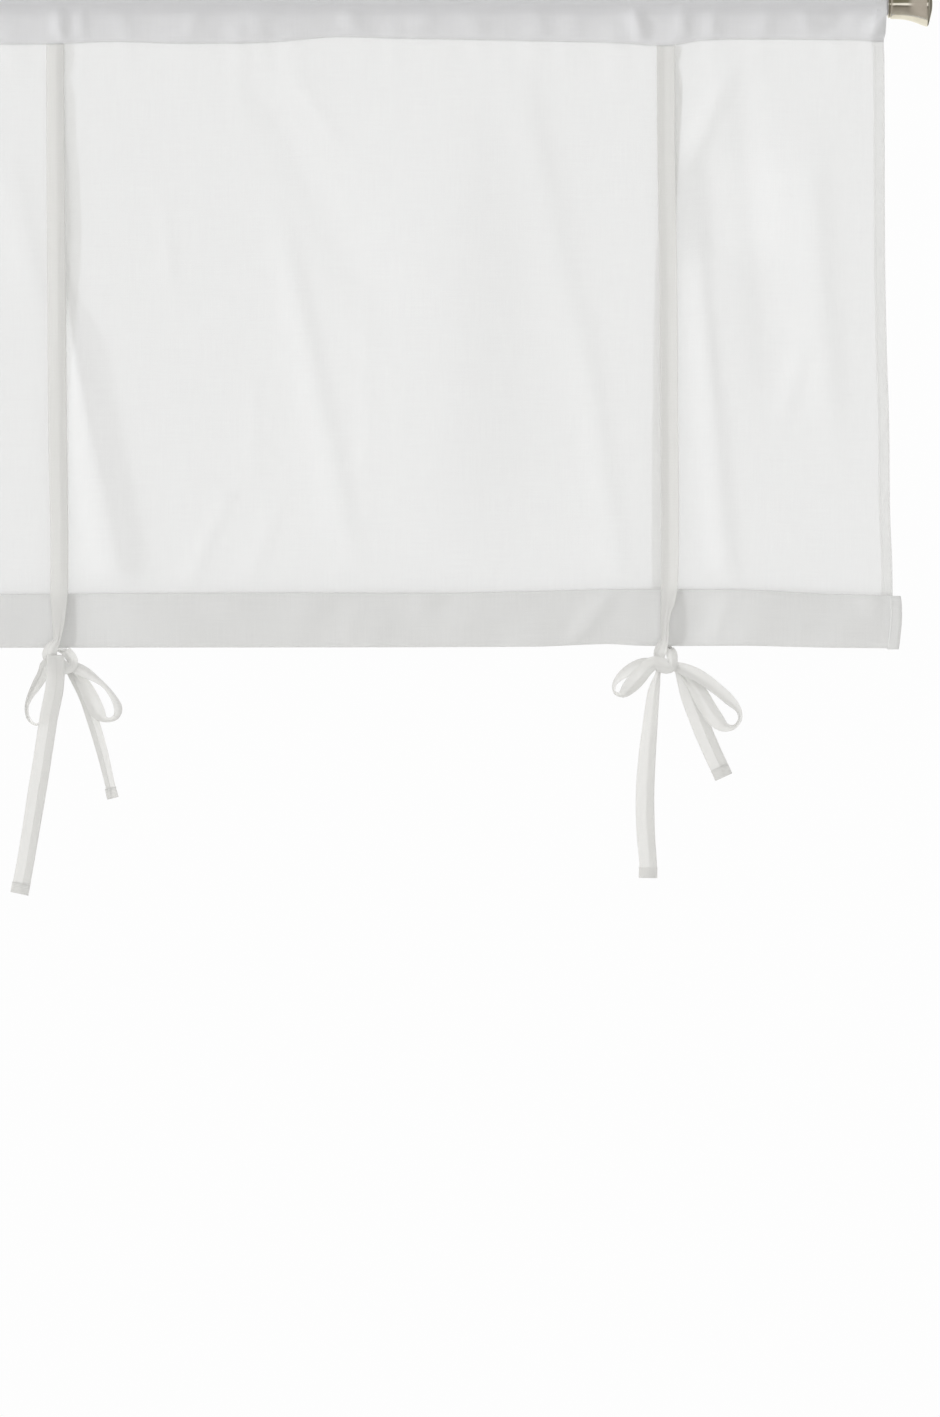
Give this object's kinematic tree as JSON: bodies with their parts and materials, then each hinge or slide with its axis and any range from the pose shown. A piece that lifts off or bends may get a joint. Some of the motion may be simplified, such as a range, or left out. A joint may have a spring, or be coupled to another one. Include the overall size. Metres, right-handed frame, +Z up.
{
  "type": "roll-up curtain on rod",
  "caption": "Sheer cotton roll-up curtain on a round rod with trumpet finials, its foot rolled forward and held up by ribbon ties knotted in bows.",
  "frame": {"origin": "on the rod's axis, at the middle of its length", "axes": "+X along the rod to the right seen from the front, -Y towards the front where the roll and bows are, +Z up"},
  "size_m": [1.31, 0.0599, 1.0452],
  "materials": {
    "sheer_cotton": "plain weave sheer white cotton",
    "ribbon_cotton": "plain weave white cotton, hemmed ends",
    "satin_nickel": "satin nickel plated steel"
  },
  "bodies": {
    "root": {"curtain_cloth": "sheer_cotton", "ribbon_front_left": "ribbon_cotton", "ribbon_back_left": "ribbon_cotton", "ribbon_front_right": "ribbon_cotton", "ribbon_back_right": "ribbon_cotton", "rod": "satin_nickel", "finial_right": "satin_nickel", "finial_left": "satin_nickel"}
  },
  "joints": []
}
